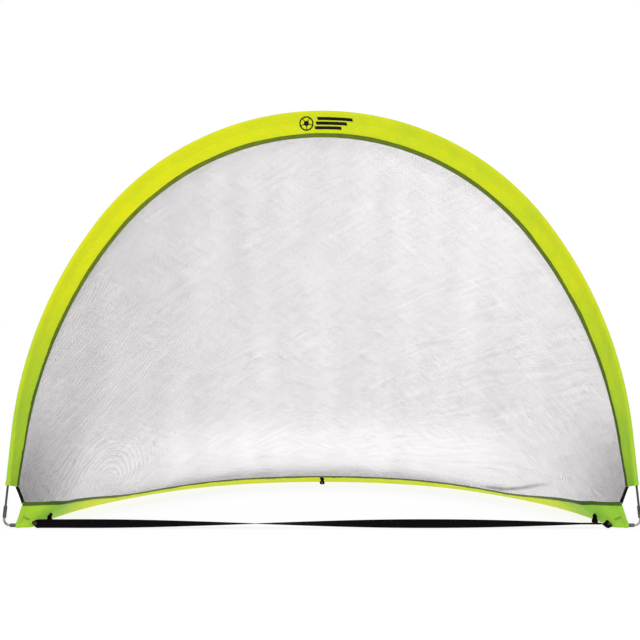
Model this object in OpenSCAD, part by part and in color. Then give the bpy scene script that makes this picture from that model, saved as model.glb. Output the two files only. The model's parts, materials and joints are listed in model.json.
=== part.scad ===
/* [Overall] */
// Width over the outside of the corner ferrules
overall_width = 1829; // [1200:1:2400]
// Height of the crown above the ground
overall_height = 1219; // [900:1:1500]
// Depth from the hinge line to the rear of the base rod
base_depth = 1016; // [850:1:1200]
// How far the arch leans back from upright, in degrees
arch_lean = 10; // [4:1:20]

/* [Frame rods] */
// Diameter of the glass-fibre rods
rod_d = 6.3; // [5:0.1:7]
// Outside diameter of the steel ferrules and barrels
ferrule_d = 10.5; // [9.5:0.1:10.8]
// Length of a ferrule on the arch
ferrule_length = 34; // [30:1:60]
// Radial clearance of a fixed rod in its ferrule
rod_clearance = 0.10; // [0.05:0.01:0.2]
// Radial running clearance of the elbow pin in its barrel
pin_clearance = 0.05; // [0.02:0.01:0.1]
// Bend radius of the steel elbow
elbow_bend_r = 17; // [15:0.5:22]
// Height on the leg where the arch starts to curve
leg_straight = 259; // [230:1:290]
// How far each leg splays outwards towards the ground, in degrees
leg_splay = 4.2; // [2:0.1:6]
// Half angle of the crown arc, from upright
crown_angle = 53.7; // [50:0.1:58]
// Half angle of the rear arc of the base loop
rear_angle = 50; // [44:1:56]
// Angle turned by each side of the base loop at its front end
front_angle = 82; // [78:1:86]
// Bend radius of the base knuckle
knuckle_bend_r = 20; // [18:0.5:24]
// Distance from the elbow bend in to the knuckle bend
knuckle_reach = 44; // [40:1:50]
// Length of the socket that holds the end of the base rod
socket_length = 32; // [26:1:40]

/* [Sleeves] */
// Width of the arch's fabric band from rod to seam edge
arch_band_w = 72; // [68:1:100]
// Width of the base loop's fabric band from rod to seam edge
base_band_w = 88; // [76:1:100]
// Outside radius of the pocket around a rod
pocket_r = 6.6; // [6.4:0.1:7.5]
// Thickness of the pocket wall
pocket_wall = 0.8; // [0.6:0.1:1]
// Half thickness of the band where the two layers meet
band_half = 1.2; // [1:0.1:1.6]
// Half thickness of the band at the seam edge
edge_half = 0.7; // [0.5:0.1:1]
// Height on the leg where the arch sleeve ends
arch_sleeve_start = 114; // [104:1:125]
// Uncovered length of the knuckle barrel
barrel_bare = 18; // [14:1:22]
// Turn of the arch band towards the net at the crown, in degrees
crown_turn = 25; // [10:1:30]
// Extra turn of the arch band at ground level, in degrees
leg_turn = 61; // [50:1:66]
// How the extra turn dies out towards the crown
turn_power = 1.15; // [0.7:0.05:1.6]
// Rise of the base band at the rear, in degrees
rear_rise = 15.5; // [12:0.5:20]
// Rise of the base band at the front corners, in degrees
front_rise = 39.5; // [36:0.5:46]
// Further rise of the base band at its mouth, in degrees
mouth_rise = 8; // [0:0.5:10]
// Distance from the corner at which the base band has settled
settle_length = 640; // [500:10:800]
// Width of the base band at its front end
front_end_w = 77; // [60:1:84]
// Width of the seam tape
tape_w = 11; // [8:0.5:14]
// Thickness of the seam tape
tape_t = 0.8; // [0.6:0.1:1]
// Length of the hem at each sleeve mouth
hem_length = 11; // [8:1:14]

/* [Net and trims] */
// Thickness of the net panel
net_t = 1; // [0.8:0.1:1.4]
// Pull of the net away from the arch seam, as a share of its span
net_pull_top = 0.42; // [0.3:0.01:0.5]
// Pull of the net away from the base seam, as a share of its span
net_pull_base = 0.40; // [0.3:0.01:0.5]
// Width of the corner bindings
binding_w = 9; // [7:0.5:12]
// Width of the front strap webbing
strap_w = 25; // [20:1:30]
// Thickness of the webbing
webbing_t = 1.6; // [1.2:0.1:2]
// Half length of the front strap
strap_half = 827; // [822:1:838]
// Length of strap in which it turns a quarter
strap_quarter = 490; // [420:10:560]
// Width of the stake loops
loop_w = 15; // [12:1:18]
// Bore radius of the stake loops
loop_bore_r = 4.6; // [4:0.1:5]
// Distance of the side loops back along the base rod from the sleeve mouth
side_loop_at = 100; // [90:1:130]
// Distance of a loop's sewn edge in from the rod, on the side bands
side_loop_in = 38; // [30:1:48]
// Distance of a loop's sewn edge in from the rod, on the rear band
rear_loop_in = 66; // [55:1:70]
// Turn of the side loops' eyes from X towards the front, in degrees
side_loop_yaw = 30; // [25:1:40]
// Tilt of the side loops' eyes above level, in degrees
side_loop_tilt = 15; // [12:1:20]
// Turn of the rear loop's eye from X towards the front, in degrees
rear_loop_yaw = 60; // [57:1:90]
// Tilt of the rear loop's eye above level, in degrees
rear_loop_tilt = 6; // [4:1:9]
// Diameter of the ball emblem on the crown
badge_d = 44; // [28:1:44]
// Thickness of the printed emblem
badge_t = 0.8; // [0.5:0.1:1.2]

/* [Hidden] */
$fn = 64;
// Stations along each half of a sleeve, and of the net
half_stations = 46;
net_half = 26;
net_rows = 12;
// Gap between the net and the seam edges
net_gap = 2.4;
// Share of the sleeve's length per station near a front corner
corner_grow = 1.9;
pocket_points = 12;
// Gap between parts that lie on one another
seat = 0.3;
// Distance of the loops' rolled edges below the band
side_loop_drop = 8;
rear_loop_drop = 3.5;
hem_t = 0.8;

hem_r = pocket_r + seat + hem_t;
ground_gap = 0.1;
hinge_z = hem_r + ground_gap;
rod_r = rod_d / 2;
half_width = overall_width / 2 - ferrule_d / 2;
crown_t = (overall_height - pocket_r - hinge_z) / cos(arch_lean);

// Radii [tight, wide] of two tangent arcs that together span x sideways and
// d deep, when the tight arc turns a1 degrees and both turn a2
function two_arcs(x, d, a1, a2) =
    let (p = sin(a1), q = sin(a2) - sin(a1), r = 1 - cos(a1), s = cos(a1) - cos(a2),
         det = p * s - q * r)
    [(x * s - d * q) / det, (p * d - r * x) / det];

// The leg is straight from the end of the elbow's bend up to the arch's side arc
function at_angle(a) = [cos(a), sin(a)];
leg_up = at_angle(90 + leg_splay);
leg_foot = elbow_bend_r * ([0, 1] + at_angle(leg_splay)) + [half_width - elbow_bend_r, 0];
leg_top = leg_foot + (leg_straight - leg_foot.y) / leg_up.y * leg_up;
arch_arcs = two_arcs(leg_top.x, crown_t - leg_straight, crown_angle, 90 - leg_splay);
crown_r = arch_arcs[0];
side_r = arch_arcs[1];
side_turn = 90 - crown_angle;
side_centre = leg_top - side_r * at_angle(leg_splay);
crown_centre_t = crown_t - crown_r;

// Knuckle: along X from the elbow, then round towards the back
barrel_end_x = half_width - elbow_bend_r - 0.5;
bend_x = barrel_end_x - knuckle_reach;
mouth_x = barrel_end_x - barrel_bare;
bend_end = [bend_x - knuckle_bend_r * sin(front_angle),
            knuckle_bend_r * (1 - cos(front_angle))];
base_dir = [-cos(front_angle), sin(front_angle)];
socket_end = bend_end + socket_length * base_dir;
base_arcs = two_arcs(socket_end.x, base_depth - socket_end.y, rear_angle, front_angle);
rear_r = base_arcs[0];
flank_r = base_arcs[1];
rear_centre_y = base_depth - rear_r;

// The box is centred on the origin: front edge of the strap to rear of the sleeve
front_y = -strap_w / 2;
back_y = base_depth + pocket_r;
hinge_y = -(front_y + back_y) / 2;

// ---- vectors and sweeps ----
function unit(v) = v / norm(v);
function rad(a) = a * PI / 180;
function deg(a) = a * 180 / PI;
function smooth(x, a, b) = let (t = min(1, max(0, (x - a) / (b - a)))) t * t * (3 - 2 * t);
function flip(v, side) = [v.x * side, v.y, v.z];
function flat(loops) = [for (l = loops) each l];

// Two triangles for the quad a b c d
function quad(a, b, c, d) = [[a, b, c], [a, c, d]];

// Wall triangles between m loops of n points, numbered from first
function wall(m, n, first = 0) =
    [for (i = [0:m - 2], j = [0:n - 1])
        let (k = (j + 1) % n, a = first + i * n)
        each quad(a + j, a + k, a + n + k, a + n + j)];
function turned(faces) = [for (f = faces) [f[2], f[1], f[0]]];
function ring(a, b, n) = [for (j = [0:n - 1]) let (k = (j + 1) % n) each quad(b + j, a + j, a + k, b + k)];

// Solid skinned over loops with a convex section
module solid_sweep(loops) {
    m = len(loops);
    n = len(loops[0]);
    fan = [for (j = [1:n - 2]) [0, j, j + 1]];
    far = [for (f = fan) [for (k = f) k + (m - 1) * n]];
    polyhedron(points = flat(loops), faces = concat(turned(wall(m, n)), fan, turned(far)));
}

// Pipe between outer and inner loops of the same number of points
module pipe_sweep(outer, inner) {
    m = len(outer);
    n = len(outer[0]);
    second = m * n;
    polyhedron(
        points = concat(flat(outer), flat(inner)),
        faces = concat(
            turned(wall(m, n)),
            wall(m, n, second),
            ring(0, second, n),
            turned(ring((m - 1) * n, second + (m - 1) * n, n))));
}

// ---- the arch: point, band direction and front face at f mm from the sleeve mouth ----
leg_part = (leg_straight - arch_sleeve_start) / leg_up.y;
side_part = rad(side_turn - leg_splay) * side_r;
arch_half = leg_part + side_part + rad(crown_angle) * crown_r;
back = [0, cos(arch_lean), -sin(arch_lean)];

function arch_angle(f) =
    f < leg_part ? leg_splay :
    f < leg_part + side_part ? leg_splay + deg((f - leg_part) / side_r) :
    side_turn + deg((f - leg_part - side_part) / crown_r);
function arch_plan(f) =
    let (a = arch_angle(f))
    f < leg_part ? leg_top + (f - leg_part) * leg_up :
    f < leg_part + side_part ? side_centre + side_r * at_angle(a) :
    [0, crown_centre_t] + crown_r * at_angle(a);
function on_arch(p) = [p.x, hinge_y + p.y * sin(arch_lean), hinge_z + p.y * cos(arch_lean)];
function arch_in(f) =
    let (a = arch_angle(f)) [-cos(a), -sin(a) * sin(arch_lean), -sin(a) * cos(arch_lean)];
function arch_turn(f) =
    crown_turn + leg_turn * pow(max(0, 1 - arch_plan(f).y / crown_t), turn_power);
function arch_band(f) = cos(arch_turn(f)) * arch_in(f) + sin(arch_turn(f)) * back;
function arch_face(f) = sin(arch_turn(f)) * arch_in(f) - cos(arch_turn(f)) * back;

// ---- the base loop, at e mm along the rod from the sleeve mouth ----
lead_part = mouth_x - bend_x;
bend_part = rad(front_angle) * knuckle_bend_r;
flank_part = rad(front_angle - rear_angle) * flank_r;
base_half = lead_part + bend_part + socket_length + flank_part + rad(rear_angle) * rear_r;
bend_done = lead_part + bend_part;
socket_done = bend_done + socket_length;
flank_done = socket_done + flank_part;

// Heading of the rod: 0 along X, 90 straight to the front
function base_heading(e) =
    e < lead_part ? 0 :
    e < bend_done ? deg((e - lead_part) / knuckle_bend_r) :
    e < socket_done ? front_angle :
    e < flank_done ? front_angle - deg((e - socket_done) / flank_r) :
    rear_angle - deg((e - flank_done) / rear_r);
function base_plan(e) =
    let (a = base_heading(e))
    e < lead_part ? [mouth_x - e, 0] :
    e < bend_done ? [bend_x - knuckle_bend_r * sin(a), knuckle_bend_r * (1 - cos(a))] :
    e < socket_done ? bend_end + (e - bend_done) * base_dir :
    e < flank_done ? socket_end + flank_r * [sin(a) - sin(front_angle), cos(a) - cos(front_angle)] :
    [rear_r * sin(a), rear_centre_y + rear_r * cos(a)];
function on_base(p) = [p.x, hinge_y + p.y, hinge_z];

// The band fans round the corner: its direction in plan runs from end_fan to the rod's normal
end_fan = 178;
fan_length = 190;
function base_fan(e) =
    e > fan_length ? base_heading(e) :
    end_fan + (base_heading(fan_length) - end_fan) * pow(smooth(e, -30, fan_length), 0.85);
function base_rise(e) =
    front_rise + (rear_rise - front_rise) * smooth(e, 60, settle_length)
    + mouth_rise * (1 - smooth(e, 0, 90));
function base_width(e) = front_end_w + (base_band_w - front_end_w) * smooth(e, 0, 70);
function base_band(e) =
    let (c = base_fan(e), r = base_rise(e)) [-sin(c) * cos(r), -cos(c) * cos(r), sin(r)];
function base_tangent(e) = let (a = base_heading(e)) [cos(a), -sin(a), 0];
function base_face(e) = unit(cross(base_tangent(e), base_band(e)));

// ---- stations ----
// Station i of n, from the left mouth (-n) over the middle (0) to the right mouth (n).
// The even part of the spacing is what share leaves near a mouth
function share(i, n, grow = corner_grow, even = 0.45) =
    let (t = 1 - abs(i) / n) (1 - even) * pow(t, grow) + even * t;
function side_of(i) = i < 0 ? -1 : 1;
// Distance of station i from its mouth: one at the mouth, one where the hem ends, then on
function sleeve_at(i, half, grow, even) =
    abs(i) == half_stations ? 0 :
    hem_length + (half - hem_length) * share(i, half_stations - 1, grow, even);

// Frame of a station: [rod point, across the rod, face, band direction, width]
function arch_station(f, side) =
    [flip(on_arch(arch_plan(f)), side), flip(arch_band(f), side), flip(arch_face(f), side),
     flip(arch_band(f), side), arch_band_w];
function base_station(e, side) =
    let (t = base_tangent(e), d = base_band(e), face = base_face(e))
    [flip(on_base(base_plan(e)), side), flip(unit(d - (d * t) * t), side), flip(face, side),
     flip(d, side), base_width(e)];

// Points of a station's section; grow moves the outline outwards
function pocket_at(s, a, r) = s[0] + r * cos(a) * s[1] + r * sin(a) * s[2];
function band_at(s, p, q) = s[0] + p * s[3] + q * s[2];
function outline(s, grow = 0) =
    [for (k = [0:pocket_points - 1])
        let (a = 15 + 30 * k)
        k == 0 ? band_at(s, s[4] + grow, edge_half + grow) :
        k == 1 ? band_at(s, 28, band_half + grow) :
        k == 10 ? band_at(s, 28, -band_half - grow) :
        k == 11 ? band_at(s, s[4] + grow, -edge_half - grow) :
        pocket_at(s, a, pocket_r + grow)];
function channel(s) =
    [for (k = [0:pocket_points - 1]) pocket_at(s, 15 + 30 * k, pocket_r - pocket_wall)];
function tape_section(s) =
    let (p1 = s[4] - tape_w - 0.5, p2 = s[4] - 0.5, q1 = band_half + 3 * seat, q2 = q1 + tape_t)
    [band_at(s, p1, q1), band_at(s, p1, q2), band_at(s, p2, q2), band_at(s, p2, q1)];

function arch_row(last, start) = [for (i = [-last:last])
    arch_station(max(start, sleeve_at(i, arch_half, corner_grow, 0.45)), side_of(i))];
// The base row is closer set round the knuckles, and runs from right to left
function base_row(last, start) = [for (i = [last:-1:-last])
    base_station(max(start, sleeve_at(i, base_half, 3, 0.1)), side_of(i))];
tape_start = hem_length + 0.5;
arch_stations = arch_row(half_stations, 0);
base_stations = base_row(half_stations, 0);

module arch_frame() {
    translate([0, hinge_y, hinge_z]) rotate([90 - arch_lean, 0, 0]) children();
}

module rod_arc(radius, r, start, turn) {
    rotate_extrude(angle = turn, start = start, $fn = 256) translate([radius, 0]) circle(r, $fn = 48);
}

// Bow of a long rod: a shade thicker than its neighbours and running 1 mm into each of them,
// so that the lengths join into one solid
bow_step = 0.03;
module bow(radius, steps, start, turn) {
    lap = deg(1 / radius);
    rod_arc(radius, rod_r + steps * bow_step, start - lap, turn + 2 * lap);
}

module on_right(side) {
    if (side > 0) children();
    else mirror([1, 0, 0]) children();
}

// ---- rods ----
rod_tail = 17;
base_tail = 26;
ferrule_gap = 3;
// Up along the leg, from a distance above its foot
module on_leg(up) {
    place = leg_foot + up * leg_up;
    translate([place.x, place.y, 0]) rotate([-90, 0, leg_splay]) children();
}
module arch_rod() {
    color("dimgray") arch_frame() {
        translate([0, crown_centre_t, 0]) bow(crown_r, 2, side_turn, 2 * crown_angle);
        for (side = [-1, 1]) on_right(side) {
            translate([side_centre.x, side_centre.y, 0])
                bow(side_r, 1, leg_splay, side_turn - leg_splay);
            on_leg(ferrule_gap + rod_tail)
                cylinder(r = rod_r, h = norm(leg_top - leg_foot) - ferrule_gap - rod_tail);
        }
    }
}

module base_rod() {
    color("dimgray") translate([0, hinge_y, hinge_z]) {
        translate([0, rear_centre_y, 0]) bow(rear_r, 2, 90 - rear_angle, 2 * rear_angle);
        for (side = [-1, 1]) on_right(side) {
            translate([socket_end.x - flank_r * sin(front_angle),
                       socket_end.y - flank_r * cos(front_angle), 0])
                bow(flank_r, 1, 90 - front_angle, front_angle - rear_angle);
            translate([socket_end.x, socket_end.y, 0]) rotate([90, 0, 90 - front_angle])
                cylinder(r = rod_r, h = base_tail);
        }
    }
}

// ---- ferrules, elbows and knuckles ----
module arch_ferrule(side) {
    color("gray") arch_frame() on_right(side) on_leg(ferrule_gap) difference() {
        cylinder(d = ferrule_d, h = ferrule_length);
        translate([0, 0, -1]) cylinder(r = rod_r + rod_clearance, h = ferrule_length + 2);
    }
}

// Bent steel rod: stub in the ferrule above, pin in the knuckle barrel below
pin_end_gap = 4;
module corner_elbow(side) {
    lap = deg(0.4 / elbow_bend_r);
    color("silver") arch_frame() on_right(side) {
        on_leg(0) cylinder(r = rod_r, h = ferrule_gap + rod_tail - 2);
        translate([half_width - elbow_bend_r, elbow_bend_r, 0])
            rod_arc(elbow_bend_r, rod_r + bow_step, -90 - lap, 90 + leg_splay + 2 * lap);
        translate([bend_x + pin_end_gap, 0, 0]) rotate([0, 90, 0])
            cylinder(r = rod_r, h = half_width - elbow_bend_r - bend_x - pin_end_gap);
    }
}

// Two tubes joined by a bent solid bar: the barrel takes the elbow's pin, the socket the rod
bar_r = ferrule_d / 2 - 0.7;
socket_d = ferrule_d - 0.3;
module base_knuckle(side) {
    lap = deg(1 / knuckle_bend_r);
    color("gray") translate([0, hinge_y, hinge_z]) on_right(side) union() {
        translate([bend_x, 0, 0]) rotate([0, 90, 0]) difference() {
            cylinder(d = ferrule_d, h = knuckle_reach);
            translate([0, 0, 3]) cylinder(r = rod_r + pin_clearance, h = knuckle_reach);
        }
        translate([bend_x, knuckle_bend_r, 0])
            rod_arc(knuckle_bend_r, bar_r, 270 - front_angle - lap, front_angle + 2 * lap);
        translate([bend_end.x, bend_end.y, 0]) rotate([-90, 0, 90 - front_angle]) difference() {
            cylinder(d = socket_d, h = socket_length);
            translate([0, 0, 4]) cylinder(r = rod_r + rod_clearance, h = socket_length);
        }
    }
}

// ---- fabric ----
module arch_sleeve() {
    color("yellowgreen")
        pipe_sweep([for (s = arch_stations) outline(s)], [for (s = arch_stations) channel(s)]);
}

module base_sleeve() {
    color("yellowgreen")
        pipe_sweep([for (s = base_stations) outline(s)], [for (s = base_stations) channel(s)]);
}

module arch_hem_tape() {
    color("olivedrab") solid_sweep([for (s = arch_row(half_stations - 1, tape_start)) tape_section(s)]);
}

module base_hem_tape() {
    color("olivedrab") solid_sweep([for (s = base_row(half_stations - 1, tape_start)) tape_section(s)]);
}

// Hem folded over a sleeve mouth
module mouth_hem(stations) {
    color("greenyellow")
        pipe_sweep([for (s = stations) outline(s, seat + hem_t)], [for (s = stations) outline(s, seat)]);
}
module arch_end_hem(side) {
    mouth_hem([for (f = side > 0 ? [hem_length, 0] : [0, hem_length]) arch_station(f, side)]);
}
module base_end_hem(side) {
    mouth_hem([for (e = side > 0 ? [0, hem_length] : [hem_length, 0]) base_station(e, side)]);
}

// ---- net ----
function bezier(a, b, c, d, t) =
    let (s = 1 - t) s * s * s * a + 3 * s * s * t * b + 3 * s * t * t * c + t * t * t * d;
// Column of the net at share u of both seams, from the arch seam to the base seam: nearly
// straight at the corners, then drawn back along the bands
function net_column(u, side) =
    let (a = arch_station(arch_half * u, side), b = base_station(base_half * u, side),
         top = band_at(a, a[4] + net_gap, 0), low = band_at(b, b[4] + net_gap, 0),
         slack = norm(top - low) * (0.12 + 0.88 * smooth(u * base_half, -20, 180)))
    [for (j = [0:net_rows])
        bezier(top, top + net_pull_top * slack * a[3],
               low + net_pull_base * slack * b[3], low, j / net_rows)];
net_grid = [for (i = [-net_half:net_half]) net_column(share(i, net_half), side_of(i))];

function net_normal(i, j) =
    let (w = len(net_grid) - 1,
         du = net_grid[min(i + 1, w)][j] - net_grid[max(i - 1, 0)][j],
         dv = net_grid[i][min(j + 1, net_rows)] - net_grid[i][max(j - 1, 0)])
    unit(cross(dv, du));
function net_skin(offset) = [for (i = [0:2 * net_half], j = [0:net_rows])
    net_grid[i][j] + offset * net_normal(i, j)];

// Two skins that share one pattern of triangles, so that they stay apart, and a rim
module net_panel() {
    m = len(net_grid);
    n = net_rows + 1;
    second = m * n;
    front = [for (i = [0:m - 2], j = [0:n - 2])
        let (a = i * n + j) each quad(a, a + 1, a + n + 1, a + n)];
    rim = concat([for (j = [0:n - 2]) j], [for (i = [0:m - 2]) i * n + n - 1],
                 [for (j = [n - 1:-1:1]) (m - 1) * n + j], [for (i = [m - 1:-1:1]) i * n]);
    edge = [for (k = [0:len(rim) - 1])
        let (a = rim[k], b = rim[(k + 1) % len(rim)]) each quad(a, b, b + second, a + second)];
    color("lightgray") polyhedron(
        points = concat(net_skin(net_t / 2), net_skin(-net_t / 2)),
        faces = concat(turned(front), [for (f = front) [for (k = f) k + second]], edge));
}

// Tape along the net's cut edge at a corner, standing just clear of the net
module corner_binding(side) {
    edge = net_column(0, side);
    inner = net_column(share(net_half - 1, net_half), side);
    steps = [for (j = [1:net_rows - 1]) j];
    color("black") solid_sweep([for (j = steps)
        let (along = unit(edge[j + 1] - edge[j - 1]),
             out = unit(edge[j] - inner[j] - ((edge[j] - inner[j]) * along) * along),
             n = cross(along, out), p1 = edge[j] + 0.6 * out, p2 = p1 + binding_w * out,
             h = webbing_t * 0.75)
        side > 0 ? [p1 - h * n, p2 - h * n, p2 + h * n, p1 + h * n]
                 : [p1 + h * n, p2 + h * n, p2 - h * n, p1 - h * n]]);
}

// ---- webbing ----
strap_z = strap_w / 2 + 0.1;
strap_turn_start = -strap_quarter - 240;
strap_end_turn = strap_half - 30;
// The strap stands on edge at the left, lies flat a quarter on, and so round to the right end
function strap_turn(x) =
    90 - 90 * min(3, max(0, x - strap_turn_start) / strap_quarter)
    - 90 * smooth(x, strap_end_turn, strap_half - 8);
// Its ends pass in front of the knuckles' pockets
function strap_front(x) =
    -(pocket_r + 0.6 + webbing_t / 2) * smooth(abs(x), strap_half - 22, strap_half - 8);
// Stations close together where it turns quickly, at the right end
strap_xs = concat([for (i = [0:47]) -strap_half + (strap_end_turn + strap_half) * i / 48],
                  [for (i = [0:14]) strap_end_turn + (strap_half - strap_end_turn) * i / 14]);
// Walls of a ribbon of four-point loops: both broad faces are split along the same diagonals,
// so that they stay apart where the ribbon twists
function ribbon_wall(m) =
    [for (i = [0:m - 2], j = [0:3])
        let (k = (j + 1) % 4, a = 4 * i)
        each (j == 3 ? quad(a + k, a + 4 + k, a + 4 + j, a + j)
                     : quad(a + j, a + k, a + 4 + k, a + 4 + j))];
module front_strap() {
    m = len(strap_xs);
    loops = [for (x = strap_xs)
        let (a = strap_turn(x), c = [x, hinge_y + strap_front(x), strap_z],
             w = strap_w / 2 * [0, cos(a), sin(a)], h = webbing_t / 2 * [0, -sin(a), cos(a)])
        [c - w - h, c - w + h, c + w + h, c + w - h]];
    color("black") polyhedron(
        points = flat(loops),
        faces = concat(turned(ribbon_wall(m)), quad(0, 1, 2, 3),
                       turned(quad(4 * m - 4, 4 * m - 3, 4 * m - 2, 4 * m - 1))));
}

// Row of stitching bars that holds a strap end to the sleeve
bar_t = 1;
module strap_bartack(side) {
    bar_y = hinge_y + strap_front(strap_half) - (webbing_t + bar_t) / 2 - seat;
    color("saddlebrown") for (k = [0:2])
        translate([side * (strap_half - 3 - 3 * k), bar_y, strap_z])
            cube([1.4, bar_t, 14], center = true);
}

// Stake loop: two plies that hang from a rolled edge below the band and open to an eye for a
// peg. The eye's axis is yawed from X and tilted up, so that a peg comes in over the strap
loop_tab_w = loop_w - 3;
eye_r = loop_bore_r + webbing_t;
function eye_z(tilt) = eye_r * cos(tilt) + loop_w / 2 * sin(tilt) + ground_gap;
module stake_loop(root, drop, yaw, tilt) {
    top = root.z - drop;
    eye = eye_z(tilt);
    color("black") translate([root.x, root.y, 0]) rotate([0, 0, yaw]) difference() {
        union() {
            translate([0, 0, eye]) rotate([0, 90 - tilt, 0]) cylinder(r = eye_r, h = loop_w, center = true);
            translate([0, 0, (eye + loop_bore_r + top) / 2])
                cube([loop_tab_w, 2 * webbing_t, top - eye - loop_bore_r], center = true);
            translate([0, 0, top]) rotate([0, 90, 0])
                cylinder(r = webbing_t, h = loop_tab_w, center = true);
        }
        translate([0, 0, eye]) rotate([0, 90 - tilt, 0])
            cylinder(r = loop_bore_r, h = loop_w + 2, center = true);
    }
}
module side_loop(side) {
    root = band_at(base_station(side_loop_at, 1), side_loop_in, band_half);
    on_right(side) stake_loop(root, side_loop_drop, 180 + side_loop_yaw, side_loop_tilt);
}
module rear_loop() {
    root = band_at(base_station(base_half, 1), rear_loop_in, band_half);
    stake_loop(root, rear_loop_drop, 180 + rear_loop_yaw, rear_loop_tilt);
}

// ---- emblem: a ball and three speed bars, printed across the crown ----
badge_in = 30;
badge_x = -48;
// It lies on the slope from the pocket down to the band
badge_tilt = crown_turn + 5.5;
badge_lift = 6.35;
bar_left = -19;
bar_right = 85;
bar_w = 9.5;
bar_pitch = 14;
function crown_sweep(x) = deg(x / (crown_r - badge_in));
module crown_axis() {
    arch_frame() translate([0, crown_centre_t, 0]) children();
}
module crown_badge() {
    color("black") {
        crown_axis() rotate([0, 0, crown_sweep(-badge_x)]) translate([0, crown_r, 0])
            rotate([badge_tilt, 0, 0]) translate([0, -badge_in, badge_lift]) linear_extrude(badge_t) {
                difference() {
                    circle(d = badge_d);
                    circle(d = badge_d - 8);
                }
                circle(d = badge_d * 0.42, $fn = 5);
            }
        for (k = [0:2]) crown_axis()
            rotate_extrude(angle = crown_sweep(bar_right - 12 * k - bar_left),
                           start = 90 - crown_sweep(bar_right - 12 * k), $fn = 256)
                translate([crown_r, 0]) rotate(180 + badge_tilt)
                    translate([badge_in + bar_pitch * (k - 1) - bar_w / 2, -badge_lift - badge_t])
                        square([bar_w, badge_t]);
    }
}

base_rod();
base_knuckle(-1);  // base_knuckle_left
base_knuckle(1);  // base_knuckle_right
base_sleeve();
base_hem_tape();
base_end_hem(-1);  // base_end_hem_left
base_end_hem(1);  // base_end_hem_right
front_strap();
strap_bartack(-1);  // strap_bartack_left
strap_bartack(1);  // strap_bartack_right
net_panel();
corner_binding(-1);  // corner_binding_left
corner_binding(1);  // corner_binding_right
arch_rod();
arch_ferrule(-1);  // arch_ferrule_left
arch_ferrule(1);  // arch_ferrule_right
corner_elbow(-1);  // corner_elbow_left
corner_elbow(1);  // corner_elbow_right
arch_sleeve();
arch_hem_tape();
arch_end_hem(-1);  // arch_end_hem_left
arch_end_hem(1);  // arch_end_hem_right
crown_badge();
side_loop(-1);  // stake_loop_left
side_loop(1);  // stake_loop_right
rear_loop();  // stake_loop_rear
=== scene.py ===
"""A pop-up goal: sleeved arch and ground loop, mesh net, webbing, steel corners. Metres, CAD frame."""

import json
import math

import bmesh
import bpy
import numpy as np
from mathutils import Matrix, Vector


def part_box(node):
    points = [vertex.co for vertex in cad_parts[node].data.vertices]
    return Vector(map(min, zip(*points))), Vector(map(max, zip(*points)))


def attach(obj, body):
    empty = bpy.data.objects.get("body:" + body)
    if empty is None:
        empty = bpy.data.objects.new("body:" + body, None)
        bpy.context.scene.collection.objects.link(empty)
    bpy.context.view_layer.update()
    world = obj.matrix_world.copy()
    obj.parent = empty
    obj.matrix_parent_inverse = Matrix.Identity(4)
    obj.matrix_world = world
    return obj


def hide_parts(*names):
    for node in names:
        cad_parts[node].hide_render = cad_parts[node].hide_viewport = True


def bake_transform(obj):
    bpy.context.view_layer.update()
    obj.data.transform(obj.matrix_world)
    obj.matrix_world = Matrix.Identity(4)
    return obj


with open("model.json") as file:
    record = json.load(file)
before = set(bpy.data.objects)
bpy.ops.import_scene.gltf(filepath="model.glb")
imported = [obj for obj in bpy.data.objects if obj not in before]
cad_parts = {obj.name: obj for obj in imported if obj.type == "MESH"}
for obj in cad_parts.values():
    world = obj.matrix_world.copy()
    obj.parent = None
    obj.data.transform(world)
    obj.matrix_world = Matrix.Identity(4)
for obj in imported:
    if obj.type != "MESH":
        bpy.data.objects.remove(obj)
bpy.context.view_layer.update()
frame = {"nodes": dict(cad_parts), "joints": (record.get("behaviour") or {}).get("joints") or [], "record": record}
rng = np.random.default_rng(7)  # the small unevenness of the seam stitches

# ---------- driving sizes
fold = next(j for j in frame["joints"] if j["name"] == "arch_fold")
HINGE_Y, HINGE_Z = fold["pos_m"][1], fold["pos_m"][2]
LEAN = math.radians(10)
POCKET_R = 0.0066
ROD_R = 0.00315
HALF_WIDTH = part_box("corner_elbow_right")[1].x - ROD_R
CROWN_T = (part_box("arch_sleeve")[1].z - POCKET_R - HINGE_Z) / math.cos(LEAN)
BASE_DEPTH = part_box("base_sleeve")[1].y - POCKET_R - HINGE_Y
LEG_STRAIGHT, LEG_SPLAY = 0.259, math.radians(4.2)
ELBOW_R = 0.017
CROWN_ANGLE = math.radians(53.7)
ARCH_MOUTH = 0.114
REAR_ANGLE = math.radians(50)
FRONT_ANGLE = math.radians(82)
KNUCKLE_R = 0.020
BARREL_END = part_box("base_knuckle_right")[1].x
BARREL_BARE, BARREL_LENGTH = 0.018, 0.044
MOUTH_X = BARREL_END - BARREL_BARE
BEND_X = BARREL_END - BARREL_LENGTH
SOCKET = 0.032
ARCH_BAND_W, BASE_BAND_W = 0.072, 0.088
FRONT_END_W = 0.077
END_FAN, FAN_LENGTH = math.radians(178), 0.190
EDGE = 0.0009
CROWN_TURN, LEG_TURN, TURN_POWER = 25, 61, 1.15
FRONT_RISE, REAR_RISE, MOUTH_RISE = 39.5, 15.5, 8
BACK = np.array([0.0, math.cos(LEAN), -math.sin(LEAN)])


def two_arcs(x, d, a1, a2):
    """Radii of two tangent arcs that span x sideways and d deep; the first turns a1, both turn a2."""
    p, q = math.sin(a1), math.sin(a2) - math.sin(a1)
    r, s = 1 - math.cos(a1), math.cos(a1) - math.cos(a2)
    det = p * s - q * r
    return (x * s - d * q) / det, (p * d - r * x) / det


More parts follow.
